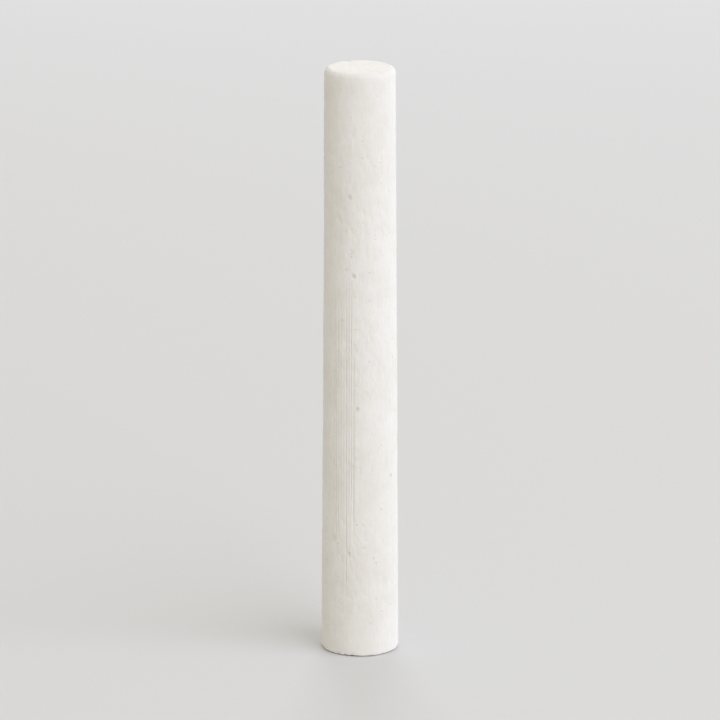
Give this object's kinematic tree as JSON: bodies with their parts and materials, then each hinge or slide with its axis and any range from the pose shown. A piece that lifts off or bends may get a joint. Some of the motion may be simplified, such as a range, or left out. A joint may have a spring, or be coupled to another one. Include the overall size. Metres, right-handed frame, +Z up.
{
  "type": "chalk stick",
  "caption": "Slim tapered round stick of white board chalk with flat ends, for writing and drawing on a blackboard or slate.",
  "frame": {"origin": "centre of the flat thick end, which the stick stands on", "axes": "+Z up along the stick's centre line, from the thick end to the thin end; X and Y are alike, because the stick is round"},
  "size_m": [0.0104, 0.0104, 0.08],
  "materials": {
    "chalk": "matte"
  },
  "bodies": {
    "root": {"chalk_stick": "chalk"}
  },
  "joints": []
}
